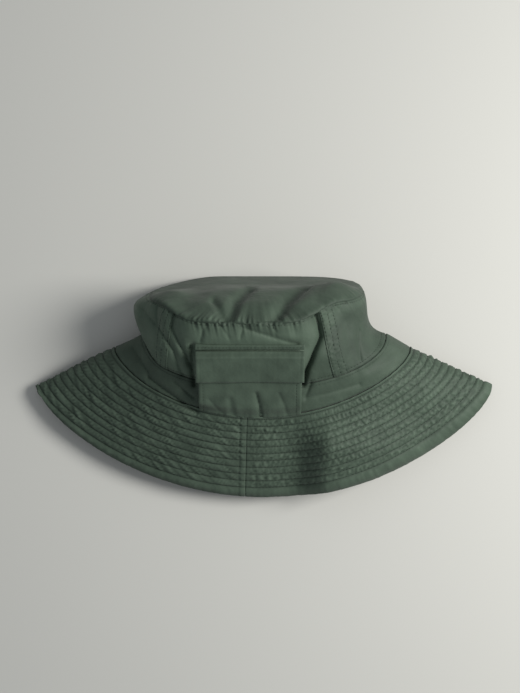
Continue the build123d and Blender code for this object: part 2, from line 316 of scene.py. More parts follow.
def drape(point, angle):
    """How far the lying cloth moves off its plain shape at a point; the side on the ground stays."""
    facing = smooth((sin(radians(angle)) + 0.05) / 0.35) * smooth((point.z - 6) / 10)
    rise = brim_wave(point.x, point.y) - sum(crease.fall(point.x, point.y) for crease in CREASES)
    rise += 0.9 * ripple(point.x / 31, point.y / 24, 4.2)
    left = bell(hypot(point.x + 112, point.y - 40), 26)
    return settle(point) + Vector((8.0 * left, 0.0, rise * facing - 5.0 * left * facing))


def crown_bulge(angle, share):
    """The upper crown swells between its seams at its left end and falls in at its right end."""
    across = cos(radians(angle))
    end = abs(across) ** 3
    even = 4 * share * (1 - share)
    low = 27 / 4 * share * (1 - share) ** 2
    return 1.5 * even + (9.0 * end * even if across < 0 else -9.5 * end * low)


# ---- Relief: sewing puckers and stitch grooves, as height above the plain cloth ----
# Heights, widths and lengths are in millimetres. A ripple's last number only picks its pattern.
# Every relief takes the angle, the run along the cloth, and the distances up and down to its seams.
def quilting(run, from_seam, open_cloth=1.0):
    """Stitch rows pulled into the cloth, and the cloth puckered up between them, less near a seam."""
    row = (from_seam - FIRST_ROW) / ROW_PITCH
    nearest = clamp(round(row), 0, ROW_COUNT - 1)
    from_row = (row - nearest) * ROW_PITCH
    height = -0.65 * bell(from_row, 0.7)
    slant = run + 0.35 * from_seam
    if row < 0 or row > ROW_COUNT - 1:
        tuck = 0.5 * ripple(slant / 3.2, row, 9.1)
        return height + (0.5 + open_cloth * tuck) * smooth(abs(from_row) / 3)
    tuck = ripple(slant / 2.3, int(row) * 5.3) + 0.8 * ripple(slant / 3.4, row * 0.5, 7.7)
    return height + abs(sin(pi * row)) ** 0.6 * (0.3 + 1.2 * open_cloth * tuck)


def from_line(lower, upper, seam, run, share):
    """How far along the cloth a place is past a seam, on whichever lap is nearer."""
    gaps = [run - lower.run(lap) * (1 - share) - upper.run(lap) * share for lap in (seam, seam + FULL_TURN)]
    return min(gaps, key=abs)


def brim_relief(angle, run, up, down):
    past = from_line(RIM, BRIM_SEAM, FRONT_CENTRE, run, up / (up + down))
    past_back = from_line(RIM, BRIM_SEAM, BACK_CENTRE, run, up / (up + down))
    centre = 0.25 * bell(past - 2.8, 2.0) - 0.3 * bell(past, 0.8) - 0.45 * bell(past - 5.6, 0.7)
    return quilting(run, down, smooth(min(abs(past), abs(past_back)) / 5)) + centre


def under_relief(angle, run, up, down):
    return -0.5 * max(0.0, quilting(run, down))


def front_weight(angle):
    """1 at the front of the hat, fading to 0 at its ends and back."""
    return bell((angle % FULL_TURN) - 98, 34)


def crimp(run, from_seam, angle):
    """Short regular gathers beside the tip seam, strongest at the front."""
    wave = sin(2 * pi * run / 4.2 + 2.5 * ripple(run / 9, 31.0))
    return 0.75 * front_weight(angle) * wave * exp(-from_seam / 3.2) * smooth(from_seam / 1.2)


def panel_relief(angle, run, up, down):
    gather = 0.8 + 2.4 * front_weight(angle)
    height = gather * exp(-down / 5.0) * ripple(run / 1.9, 1.3) * smooth(down / 1.5)
    height += 1.2 * front_weight(angle) * exp(-down / 12.0) * ripple(run / 6.5, 21.3)
    height += crimp(run, down, angle)
    height += 0.4 * exp(-up / 6.0) * ripple(run / 3.4, 2.9)
    height -= 0.3 * bell(down - TOPSTITCH, 0.6) + 0.3 * bell(up - TOPSTITCH, 0.6)
    height -= 1.6 * exp(-down / 1.1) + 1.0 * exp(-up / 1.0)
    return height + crown_bulge(angle, up / (up + down))


def band_relief(angle, run, up, down):
    height = 0.35 * exp(-down / 6.0) * ripple(run / 3.4, 6.1)
    height += 0.5 * exp(-up / 5.0) * ripple(run / 3.0, 8.3)
    height -= 0.3 * bell(down - TOPSTITCH, 0.6)
    return height - 0.6 * exp(-down / 0.8) - 0.7 * exp(-up / 0.9)


def strip_relief(seam):
    def relief(angle, run, up, down):
        across = from_line(BAND_SEAM, TIP_SEAM, seam, run, up / (up + down))
        from_row = abs(across) - STRIP_WIDTH / 2 + STRIP_STITCH_INSET
        stitched = -0.25 * bell(from_row, 0.5) - 0.25 * bell(across, 0.5)
        tuck = 0.5 * ripple(up / 1.9, across / 3 + seam)
        return panel_relief(angle, run, up, down) + stitched + tuck
    return relief


def flat_relief(angle, run, up, down):
    return 0.0


def inner_crown_relief(angle, run, up, down):
    return crown_bulge(angle, up / (up + down))


# ---- Making cloth ----
def new_piece(name, bm, material, body="hat"):
    mesh = bpy.data.meshes.new(name)
    bm.to_mesh(mesh)
    bm.free()
    for polygon in mesh.polygons:
        polygon.use_smooth = True
    mesh.materials.append(material)
    piece = bpy.data.objects.new(name, mesh)
    bpy.context.scene.collection.objects.link(piece)
    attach(piece, body)
    return piece


def shaped_grid(columns, rows, place):
    """A flat grid moved onto its shape; place(column, row) gives point, relief and place in the weave."""
    bm = bmesh.new()
    # Each vertex keeps its relief; the cloth materials paint shade from it, darker in hollows and paler on
    # ridges.
    relief_layer = bm.verts.layers.float.new("relief")
    bmesh.ops.create_grid(bm, x_segments=columns, y_segments=rows, size=0.5)
    pattern = bm.loops.layers.uv.new("cloth")
    spots = {}
    for vert in bm.verts:
        column = round((vert.co.x + 0.5) * columns)
        row = round((vert.co.y + 0.5) * rows)
        point, relief, spot = place(column, row)
        vert.co = point * MM
        vert[relief_layer] = relief
        spots[vert] = spot
    for face in bm.faces:
        for loop in face.loops:
            loop[pattern].uv = spots[loop.vert]
    return bm


def quilted_levels():
    """Places down the brim for rows of vertices: one on each stitch row, more beside it than between."""
    levels = [0.0, 1.2]
    for row in range(ROW_COUNT):
        levels += [FIRST_ROW + row * ROW_PITCH + step for step in (-0.7, 0.0, 0.7, 1.8, 3.45, 5.1)]
    return levels[:-1] + [None]


def ring_cloth(lower, upper, start, stop, step, relief,
               depth=0.0, reach=(0.0, 1.0), inset=0.0, levels=()):
    """Cloth between two rings, its columns evenly spaced along the lower ring.

    Its rows are evenly spaced too, unless levels gives their distances below the upper ring, with
    None for the lower ring itself.
    """
    first, last = lower.run(start) + inset, lower.run(stop) - inset
    columns = max(4, int((last - first) / step))
    rows = max(2, int((upper.at(start) - lower.at(start)).length * (reach[1] - reach[0]) / step))
    if levels:
        rows = len(levels) - 1

    lines = []
    for column in range(columns + 1):
        angle = lower.angle_at(last + (first - last) * column / columns)
        low, high = lower.at(angle), upper.at(angle)
        lines.append((angle, low, high - low, (high - low).length, lower.along(angle), upper.along(angle),
                      lower.run(angle), upper.run(angle)))

    def place(column, row):
        angle, low, climb, length, along_low, along_high, run_low, run_high = lines[column]
        share = reach[0] + (reach[1] - reach[0]) * row / rows
        if levels:
            below = levels[rows - row]
            share = 0.0 if below is None else 1 - below / length
        run = run_low + (run_high - run_low) * share
        normal = climb.cross(along_low.lerp(along_high, share)).normalized()
        up = share * length
        height = relief(angle, run, up, length - up)
        base = low + climb * share
        point = base + normal * (height - depth) + drape(base, angle)
        return point, height, (run * MM, up * MM)

    return shaped_grid(columns, rows, place)


# ---- Colour and materials ----
def colour(hex_code):
    """sRGB hex to linear, for a shader."""
    parts = [int(hex_code[i:i + 2], 16) / 255 for i in (1, 3, 5)]
    return tuple(c / 12.92 if c <= 0.04045 else ((c + 0.055) / 1.055) ** 2.4 for c in parts) + (1.0,)


def node(tree, kind, settings=None, inputs=None):
    """Add a node, set its properties, and set or link its inputs."""
    made = tree.nodes.new(kind)
    for key, value in (settings or {}).items():
        setattr(made, key, value)
    for key, value in (inputs or {}).items():
        if isinstance(value, bpy.types.NodeSocket):
            tree.links.new(value, made.inputs[key])
        else:
            made.inputs[key].default_value = value
    return made


def cloth_material(name, dark, light, roughness, sheen, thread_mm, bump, mottle=0.5):
    """Woven cloth: two crossed thread waves for the weave, slow mottling, and painted shade from the
    relief: darker in the hollows, paler on the ridges.

    thread_mm is the width of a thread and its gap, coarser than real, because the real one is too fine
    to show.
    """
    material = bpy.data.materials.new(name)
    material.use_nodes = True
    tree = material.node_tree
    shader = tree.nodes["Principled BSDF"]
    place = node(tree, "ShaderNodeUVMap", {"uv_map": "cloth"})
    spot = node(tree, "ShaderNodeTexCoord")
    waves = 1 / (thread_mm * MM) / 20
    warp, weft = (
        node(tree, "ShaderNodeTexWave", {"bands_direction": direction},
             {"Vector": place.outputs["UV"], "Scale": waves, "Distortion": 0.6, "Detail Scale": 2.0})
        for direction in "XY"
    )
    weave = node(tree, "ShaderNodeMath", {"operation": "MULTIPLY"},
                 {0: warp.outputs["Fac"], 1: weft.outputs["Fac"]})
    slub = node(tree, "ShaderNodeTexNoise", None,
                {"Vector": spot.outputs["Object"], "Scale": 900.0, "Detail": 3.0})
    cloud = node(tree, "ShaderNodeTexNoise", None,
                 {"Vector": spot.outputs["Object"], "Scale": 60.0, "Detail": 4.0, "Roughness": 0.5})
    # Painted shade: the relief height mixes the dark colour into the cloth's hollows and the light colour
    # onto its ridges.
    relief = node(tree, "ShaderNodeAttribute", {"attribute_name": "relief"})
    relief_shade = node(tree, "ShaderNodeMapRange", None,
                  {"Value": relief.outputs["Fac"], "From Min": -0.5, "From Max": 1.1,
                   "To Min": 0.0, "To Max": 1.0})
    mottling = node(tree, "ShaderNodeMath", {"operation": "MULTIPLY"},
                    {0: cloud.outputs["Fac"], 1: mottle})
    # The mix factor: painted shade from the relief, weighted by 1 - mottle, plus random mottling.
    fade = node(tree, "ShaderNodeMath", {"operation": "MULTIPLY_ADD", "use_clamp": True},
                {0: relief_shade.outputs["Result"], 1: 1 - mottle, 2: mottling.outputs["Value"]})
    tint = node(tree, "ShaderNodeMix", {"data_type": "RGBA"},
                {"Factor": fade.outputs["Value"], "A": colour(dark), "B": colour(light)})
    height = node(tree, "ShaderNodeMath", {"operation": "MULTIPLY_ADD"},
                  {0: slub.outputs["Fac"], 1: 0.6, 2: weave.outputs["Value"]})
    crumple = node(tree, "ShaderNodeBump", None,
                   {"Height": cloud.outputs["Fac"], "Strength": 0.5, "Distance": 0.0025})
    grain = node(tree, "ShaderNodeBump", None,
                 {"Height": height.outputs["Value"], "Strength": 0.45 * bump, "Distance": 0.0002,
                  "Normal": crumple.outputs["Normal"]})
    tree.links.new(tint.outputs["Result"], shader.inputs["Base Color"])
    tree.links.new(grain.outputs["Normal"], shader.inputs["Normal"])
    finish = {"Roughness": roughness, "Sheen Weight": sheen, "Sheen Roughness": 0.45,
              "Specular IOR Level": 0.22}
    for key, value in finish.items():
        shader.inputs[key].default_value = value
    return material


def make_materials(look):
    """One material for each real cloth, tape and thread."""
    return {
        # Tightly woven nylon taslan: matte, with a low cool sheen, painted shade in its hollows and paler
        # ridges.
        "shell": cloth_material("olive_nylon_taslan", look.shell_hollow_shade, look.shell_light,
                                0.62, 0.06, 0.7, 0.35),
        # Plain nylon lining: flatter and a little duller than the shell.
        "lining": cloth_material("olive_nylon_lining", "#2b342c", "#3f4a3e", 0.7, 0.08, 0.7, 0.3),
        # Grosgrain tape: ribbed across its length.
        "tape": cloth_material("olive_grosgrain_tape", "#343c34", "#465046", 0.75, 0.1, 1.1, 0.8),
        # Unbleached non-woven stiffener: pale, fibrous.
        "stiffener": cloth_material("unbleached_interlining", "#a09d90", "#b9b6a8",
                                    0.9, 0.0, 2.0, 0.4, 1.0),
        # Polyester thread: smooth, and darkened as painted shade of its needle holes, as dark as the
        # cloth's painted hollows.
        "thread": cloth_material("olive_polyester_thread", "#252e27", "#313b33",
                                 0.6, 0.0, 0.4, 0.2, 1.0),
        # Hook and loop tape: fuzzy and dark.
        "fastener": cloth_material("olive_hook_and_loop", "#2b322b", "#3d463d", 0.95, 0.3, 1.4, 1.0),
        # Satin label, blank.
        "label": cloth_material("black_satin_label", "#1b1c1b", "#2a2b2a", 0.35, 0.0, 0.5, 0.1, 1.0),
    }


MATERIALS = {}


# ---- Properties that a user would change ----
class BoonieHatLook(bpy.types.PropertyGroup):
    """Sizes and colours of the hat's finish."""

    # The shell's hollow colour is painted shade; the cloth materials mix it with the ridge colour by
    # relief.
    shell_hollow_shade: bpy.props.StringProperty(
        name="Shell, hollows", description="sRGB hex of the shell cloth in its hollows", default="#27322a")
    shell_light: bpy.props.StringProperty(
        name="Shell, ridges", description="sRGB hex of the shell cloth on its ridges", default="#536355")
    mesh_spacing: bpy.props.FloatProperty(
        name="Mesh spacing", description="Distance between cloth vertices", default=1.05 * MM,
        min=0.5 * MM, soft_max=5 * MM, unit="LENGTH", precision=5)
    stitch_length: bpy.props.FloatProperty(
        name="Stitch length", description="From one stitch to the next", default=3.0 * MM,
        min=1.0 * MM, soft_max=6 * MM, unit="LENGTH", precision=5)


def look():
    return bpy.context.scene.boonie_hat_look


def spacing():
    coarse = 1.0
    return look().mesh_spacing / MM * coarse


def finish_cloth(name, bm, material, thickness, nodes, body="hat"):
    """Make the piece, give it thickness inward from its face, and hide the solids it stands for."""
    piece = new_piece(name, bm, MATERIALS[material], body)
    wall = piece.modifiers.new("Cloth thickness", "SOLIDIFY")
    wall.thickness = thickness * MM
    wall.offset = -1.0
    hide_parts(*nodes)
    return piece


def declare_ring_cloth(lower, upper, start, stop):
    """Works out the cloth's size cut flat, as long as its edge on the lower ring and as wide as at the
    front centre, and leaves it unused.
    """
    width = (upper.at(FRONT_CENTRE) - lower.at(FRONT_CENTRE)).length
    length, upper_length = (ring.run(stop) - ring.run(start) for ring in (lower, upper))


class BOONIE_OT_brim(bpy.types.Operator):
    """Make the brim: quilted top cloth, interlining and under cloth, in two halves"""

    bl_idname = "boonie.brim"
    bl_label = "Brim"

    def execute(self, context):
        for side, (start, stop) in HALVES.items():
            top = ring_cloth(RIM, BRIM_SEAM, start, stop, spacing(), brim_relief, levels=quilted_levels())
            top = finish_cloth(f"brim_top_cloth_{side}", top, "shell", SHELL,
                               [f"brim_top_{side}"])
            stiff = ring_cloth(RIM, BRIM_SEAM, start, stop, 2 * spacing(), flat_relief, SHELL + 0.35,
                               reach=(0.02, 0.9), inset=2.0)
            finish_cloth(f"brim_stiffener_{side}", stiff, "stiffener", INTERLINING / 2,
                         [f"brim_interlining_{side}"])
            under = ring_cloth(RIM, BRIM_SEAM, start, stop, 1.6 * spacing(), under_relief,
                               SHELL + INTERLINING, inset=SEAM_GAP / 2)
            under = finish_cloth(f"brim_under_cloth_{side}", under, "lining", LINING,
                                 [f"brim_under_{side}"])
            for cloth in (top, under):
                declare_ring_cloth(RIM, BRIM_SEAM, start, stop)
        return {"FINISHED"}


class BOONIE_OT_lower_band(bpy.types.Operator):
    """Make the plain band between the crown and the brim, in two halves"""

    bl_idname = "boonie.lower_band"
    bl_label = "Lower band"

    def execute(self, context):
        for side, (start, stop) in HALVES.items():
            band = ring_cloth(BRIM_SEAM, BAND_SEAM, start, stop, spacing(), band_relief)
            band = finish_cloth(f"lower_band_cloth_{side}", band, "shell", SHELL,
                                [f"lower_band_{side}"])
            declare_ring_cloth(BRIM_SEAM, BAND_SEAM, start, stop)
        return {"FINISHED"}


class BOONIE_OT_crown_panels(bpy.types.Operator):
    """Make the four panels of the upper crown and the stitched strips over their seams"""

    bl_idname = "boonie.crown_panels"
    bl_label = "Crown panels"

    def execute(self, context):
        for side, (start, stop) in PANELS.items():
            panel = ring_cloth(BAND_SEAM, TIP_SEAM, start, stop, spacing(), panel_relief,
                               inset=SEAM_GAP / 2)
            panel = finish_cloth(f"{side}_crown_cloth", panel, "shell", SHELL,
                                 [f"{side}_crown_panel"])
            declare_ring_cloth(BAND_SEAM, TIP_SEAM, start, stop)
        for place, seam in STRIPS.items():
            half = STRIP_WIDTH / 2
            start = BAND_SEAM.angle_at(BAND_SEAM.run(seam) - half)
            stop = BAND_SEAM.angle_at(BAND_SEAM.run(seam) + half)
            strip = ring_cloth(BAND_SEAM, TIP_SEAM, start, stop, 0.7 * spacing(), strip_relief(seam),
                               -STRIP - 0.1, reach=(0.005, 0.995))
            finish_cloth(f"{place}_strip", strip, "shell", STRIP, [f"{place}_seam_strip"])
        return {"FINISHED"}


# ---- Crown tip ----
TIP_REACH = 62.0
MERGE_DISTANCE = 0.05


def tip_relief(angle, inward):
    gather = 0.6 + 2.4 * front_weight(angle)
    turn = 2 * pi * TIP_SEAM.run(angle) / TIP_SEAM.run(FULL_TURN)
    reach = TIP_SEAM.run(FULL_TURN) / (2 * pi * 2.0)
    tuck = ripple(reach * cos(turn), reach * sin(turn), 11.7)
    fan = ripple(reach * cos(turn) / 3, reach * sin(turn) / 3, 2.7)
    height = gather * (exp(-inward / 5.0) * tuck + 0.7 * exp(-inward / 13.0) * fan) * smooth(inward / 1.5)
    return height + crimp(TIP_SEAM.run(angle), inward, angle) - 1.3 * exp(-inward / 1.0)


TIP_FOLDS = [
    Crease(((-31, 54), (-24, 68), (-13, 79)), 4.6, 4.6, False),
    Crease(((6, 55), (18, 67), (35, 78)), 5.0, 5.0, False),
    Crease(((-43, 67), (-33, 56)), 2.6, 2.8, False),
    Crease(((-66, 66), (-50, 84)), 2.0, 9.0, False),
    Crease(((44, 66), (56, 80)), 1.6, 7.0, False),
]


def tip_place(angle, inward_share):
    """Point and relief of the tip; the share runs from the seam, 0, to the middle, 1."""
    seam = TIP_SEAM.at(angle)
    middle = Vector((CROWN_MIDDLE, 0, HEIGHT * 0.48))
    flat = seam.lerp(middle, inward_share)
    point = Vector((flat.x, tip_bow(flat.z), flat.z))
    slope = tip_bow(flat.z + 0.5) - tip_bow(flat.z - 0.5)
    normal = Vector((0, 1, -slope)).normalized()
    inward = (seam - flat).length
    height = tip_relief(angle, inward)
    front = smooth((flat.z - 30) / 40)
    swell = front * (1.8 * (1 - exp(-inward / 2.5)) + 4.5 * smooth(inward / 30))
    swell -= sum(fold.fall(point.x, point.y) for fold in TIP_FOLDS) * smooth((point.z - 30) / 30)
    return point + normal * (height + swell) + settle(point), height


class BOONIE_OT_crown_tip(bpy.types.Operator):
    """Make the oval tip of the crown, gathered into its seam"""

    bl_idname = "boonie.crown_tip"
    bl_label = "Crown tip"

    def execute(self, context):
        around = TIP_SEAM.run(FULL_TURN)
        columns = int(around / spacing())
        rows = int(TIP_REACH / spacing())

        def place(column, row):
            angle = TIP_SEAM.angle_at(around * column / columns)
            share = (row / rows) ** 1.15
            point, relief = tip_place(angle, share)
            return point, relief, (point.x * MM, point.z * MM)

        bm = shaped_grid(columns, rows, place)
        bmesh.ops.remove_doubles(bm, verts=bm.verts, dist=MERGE_DISTANCE * MM)
        bmesh.ops.recalc_face_normals(bm, faces=bm.faces)
        outward = sum(face.normal.y * face.calc_area() for face in bm.faces)
        if outward < 0:
            bmesh.ops.reverse_faces(bm, faces=bm.faces)
        tip = finish_cloth("crown_tip_cloth", bm, "shell", SHELL, ["crown_tip"])
        return {"FINISHED"}


class BOONIE_OT_lining(bpy.types.Operator):
    """Make what lines the inside: sweatband, seam bindings and the blank label"""

    bl_idname = "boonie.lining"
    bl_label = "Sweatband and bindings"

    def execute(self, context):
        start, stop = BACK_CENTRE, BACK_CENTRE + FULL_TURN
        band = ring_cloth(BRIM_SEAM, BAND_SEAM, start, stop, INNER_SPACING, flat_relief,
                          SHELL + 0.6, inset=0.5)
        finish_cloth("sweatband_cloth", band, "lining", LINING, ["sweatband"])
        for seam, reach in (("band_seam", (0.02, 0.18)), ("tip_seam", (0.82, 0.98))):
            tape = ring_cloth(BAND_SEAM, TIP_SEAM, start, stop, INNER_SPACING, inner_crown_relief,
                              SHELL + 0.4, reach=reach, inset=0.5)
            finish_cloth(f"{seam}_tape", tape, "tape", LINING, [f"{seam}_binding"])
        label = ring_cloth(BRIM_SEAM, BAND_SEAM, BACK_CENTRE - LABEL_HALF_ANGLE,
                           BACK_CENTRE + LABEL_HALF_ANGLE, LABEL_SPACING, flat_relief,
                           SHELL + 0.6 + LINING + 0.15, reach=(0.25, 0.75))
        finish_cloth("blank_label", label, "label", LABEL, ["size_label"])
        return {"FINISHED"}


# ---- Pocket and flap, in the plane of the crown's front: x across, v up the crown, w off it ----
TILT = sqrt(1 + CROWN_SLOPE ** 2)
PLANE_ORIGIN = Vector((POCKET_MIDDLE, BRIM_SEAM_FRONT, slope_height(BRIM_SEAM_FRONT)))
PLANE_UP = Vector((0, 1 / TILT, CROWN_SLOPE / TILT))
PLANE_OUT = Vector((0, -CROWN_SLOPE / TILT, 1 / TILT))
POCKET_LENGTH = 62.0
POCKET_DEPTH = 3.0
POCKET_TAPER = 12.0
POCKET_HEM = 9.0
GUSSET_START = 3
GUSSET_ROWS = 4
HEM_COLUMNS = 40
HEM_ROWS = 6
TAPE_LENGTH = 56.0
TAPE_WIDTH = 12.0
TAPE_MARGIN = 4.0
TAPE_COLUMNS = 110
TAPE_ROWS = 24
TAPE_BRISTLE = 0.08
FLAP_OVERHANG = 2.0
FLAP_WIDTH = POCKET_WIDTH + 2 * FLAP_OVERHANG
FLAP_EDGE = 3.5
FLAP_LENGTH = 28.0
FLAP_STAND = 5.4
HINGE_LOCAL = Vector([value / MM for value in HINGE]) - PLANE_ORIGIN
HINGE_UP = HINGE_LOCAL.dot(PLANE_UP)
HINGE_OUT = HINGE_LOCAL.dot(PLANE_OUT)


def on_plane(x, v, w):
    return PLANE_ORIGIN + Vector((x, 0, 0)) + PLANE_UP * v + PLANE_OUT * w


def pocket_foot(x):
    """Where the brim seam runs below the pocket, up the crown."""
    angle = degrees(acos((POCKET_MIDDLE + x - BRIM_SEAM.middle) / BRIM_SEAM.reach))
    return (BRIM_SEAM.at(angle) - PLANE_ORIGIN).dot(PLANE_UP)


def crown_drop(x):
    """How far the crown's surface has fallen below the plane at a place across the pocket."""
    angle = degrees(acos((POCKET_MIDDLE + x - BAND_SEAM.middle) / BAND_SEAM.reach))
    return (BAND_SEAM.at(angle) - PLANE_ORIGIN).dot(PLANE_OUT)


POCKET_FOLDS = [
    Crease(((9, 0), (8, 12), (5, 26)), 2.4, 2.8),
    Crease(((-14, 2), (-17, 20)), 1.2, 3.0, False),
    Crease(((-34, 20), (-24, 4)), 1.0, 2.6),
    Crease(((31, 2), (29, 14), (24, 26)), 1.2, 3.0),
]


def pocket_height(x, v):
    """Height of the pocket's face over the plane: caught in the brim seam, then standing off the crown."""
    foot = pocket_foot(x)
    open_up = smooth((v - foot) / POCKET_TAPER)
    edge = abs(x) - POCKET_WIDTH / 2
    height = crown_drop(x) * (1 - open_up) * 0.9 + open_up * (POCKET_DEPTH + SHELL)
    height -= 0.5 * exp(edge / 0.8)
    height += 0.5 * open_up * ripple(x / 11, v / 17, 3.3) - 0.25 * bell(edge + 4.0, 0.5)
    height += 0.5 * exp(-(v - foot) / 5) * ripple(x / 2.6, 5.0)
    return height + 0.6 - sum(fold.fall(x, v) for fold in POCKET_FOLDS)


class BOONIE_OT_pocket(bpy.types.Operator):
    """Make the pocket: front, side and bottom gusset, hem and loop strip"""

    bl_idname = "boonie.pocket"
    bl_label = "Pocket"

    def execute(self, context):
        half = POCKET_WIDTH / 2
        columns, rows = int(POCKET_WIDTH / spacing()), int(POCKET_LENGTH / spacing())

        def face_place(column, row):
            x = -half + POCKET_WIDTH * column / columns
            foot = pocket_foot(x) - 0.6
            v = foot + (POCKET_LENGTH - foot) * row / rows
            w = pocket_height(x, v)
            return on_plane(x, v, w), 0.3 + 0.6 * ripple(x / 9, v / 12), (x * MM, v * MM)

        front = finish_cloth("pocket_cloth", shaped_grid(columns, rows, face_place), "shell", SHELL,
                             ["pocket_front"])

        inner = half - 0.35
        side_steps = range(int(POCKET_LENGTH - GUSSET_START))
        path = [(-inner, POCKET_LENGTH - step) for step in side_steps]
        path += [(x, pocket_foot(x) + 0.3) for x in range(-int(inner), int(inner) + 1)]
        path += [(inner, GUSSET_START + step) for step in side_steps]

        def side_place(column, row):
            x, v = path[column]
            base = crown_drop(x) - 1.2
            top = pocket_height(x, v) - 0.35
            w = base + (top - base) * row / GUSSET_ROWS
            return on_plane(x, v, w), 0.0, (column * MM, row * MM)

        gusset = shaped_grid(len(path) - 1, GUSSET_ROWS, side_place)
        finish_cloth("pocket_gusset_cloth", gusset, "shell", GUSSET, ["pocket_gusset"])

        def hem_place(column, row):
            x = (-half + 1.6) + (POCKET_WIDTH - 3.2) * column / HEM_COLUMNS
            v = POCKET_LENGTH - POCKET_HEM + (POCKET_HEM - 0.2) * row / HEM_ROWS
            return on_plane(x, v, pocket_height(x, v) - SHELL - 0.15), 0.0, (x * MM, v * MM)

        finish_cloth("pocket_hem_cloth", shaped_grid(HEM_COLUMNS, HEM_ROWS, hem_place), "shell", HEM,
                     ["pocket_mouth_hem"])
        loops = tape_grid(lambda x, v: pocket_height(x, v) + 0.55)
        finish_cloth("loop_strip", loops, "fastener", FASTENER, ["pocket_loop_strip"])
        return {"FINISHED"}


def tape_grid(height):
    """A strip of hook or loop tape across the pocket, its face a little bristly."""
    def place(column, row):
        x = -TAPE_LENGTH / 2 + TAPE_LENGTH * column / TAPE_COLUMNS
        v = HINGE_UP - FLAP_LENGTH + TAPE_MARGIN + TAPE_WIDTH * row / TAPE_ROWS
        w = height(x, v) + TAPE_BRISTLE * ripple(x * 2.1, v * 2.3)
        return on_plane(x, v, w), 0.0, (x * MM, v * MM)
    return shaped_grid(TAPE_COLUMNS, TAPE_ROWS, place)


def flap_height(x, v):
    """Height of the flap's outer face: up from its hinge line, then flat over the pocket."""
    from_hinge = HINGE_UP - v
    root = HINGE_OUT + 0.3
    height = root + (FLAP_STAND + SHELL + LINING - root) * smooth(from_hinge / 4.0)
    side = abs(x) - FLAP_WIDTH / 2
    free = v - (HINGE_UP - FLAP_LENGTH)
    height += 0.35 * ripple(x / 13, v / 16, 8.8) * smooth(from_hinge / 10)
    height += 0.35 * exp(-from_hinge / 3.5) * ripple(x / 2.4, 3.9)
    height -= 0.5 * exp(side / 0.7) + 0.5 * exp(-free / 0.7)
    height -= 0.18 * bell(side + 3.5, 0.5)
    return height + 0.5 * (abs(x) / 45) ** 2 - 0.5 * bell(x - 4, 14) * smooth(from_hinge / 14)


EDGE_START = HINGE_UP + 1.0
EDGE_WIDTH = FLAP_EDGE + 0.6
EDGE_ROWS = 8


def edge_height(x):
    """Height of the flap's stitched edge, low enough for the flap to swing up over it."""
    return HINGE_OUT - 0.5 + 0.2 * ripple(x / 2.4, 3.9)


class BOONIE_OT_flap(bpy.types.Operator):
    """Make the flap that swings up on its top seam, its lining, hook strip and stitched edge"""

    bl_idname = "boonie.flap"
    bl_label = "Pocket flap"

    def execute(self, context):
        low = HINGE_UP - FLAP_LENGTH
        fine = 0.8 * spacing()
        columns, rows = int(FLAP_WIDTH / fine), int(FLAP_LENGTH / fine)

        def layer(width, drop):
            def place(column, row):
                x = -width / 2 + width * column / columns
                v = low + FLAP_LENGTH * row / rows
                w = flap_height(x, v) - drop
                return on_plane(x, v, w), 0.3 + 0.6 * ripple(x / 9, v / 12), (x * MM, v * MM)
            return place

        shell = finish_cloth("flap_cloth", shaped_grid(columns, rows, layer(FLAP_WIDTH, 0.0)),
                             "shell", SHELL, ["flap_shell"], "flap")
        lining = shaped_grid(columns, rows, layer(FLAP_WIDTH - 1.6, SHELL))
        lining = finish_cloth("flap_lining_cloth", lining, "lining", LINING,
                              ["flap_lining"], "flap")
        hooks = tape_grid(lambda x, v: flap_height(x, v) - SHELL - LINING)
        finish_cloth("hook_strip", hooks, "fastener", FASTENER, ["flap_hook_strip"], "flap")

        def edge_place(column, row):
            x = -FLAP_WIDTH / 2 + FLAP_WIDTH * column / columns
            v = EDGE_START + EDGE_WIDTH * row / EDGE_ROWS
            roll = 0.9 * exp(-(EDGE_START + EDGE_WIDTH - v) / 0.6)
            sag = crown_drop(x) * smooth((abs(x) - 30) / 15) * 0.5 * row / EDGE_ROWS
            return on_plane(x, v, edge_height(x) - roll + sag), 0.3, (x * MM, v * MM)

        edge = shaped_grid(columns, EDGE_ROWS, edge_place)
        finish_cloth("flap_seam_cloth", edge, "shell", FLAP_SEAM, ["flap_seam_edge"])
        return {"FINISHED"}


# ---- Stitching ----
QUILT_LIFT = 0.14
SEAM_LIFT = 0.12
POCKET_STITCH_INSET = 4.0
POCKET_STITCH = 2.9


def cloth_spot(lower, upper, angle, share, relief, lift):
    """A point over the cloth between two rings, and the plain cloth's outward normal there."""
    low = lower.at(angle)
    climb = upper.at(angle) - low
    base = low + climb * share
    normal = climb.cross(lower.along(angle).lerp(upper.along(angle), share)).normalized()
    run = lower.run(angle) * (1 - share) + upper.run(angle) * share
    height = relief(angle, run, share * climb.length, (1 - share) * climb.length)
    return base + normal * (height + lift) + drape(base, angle), normal


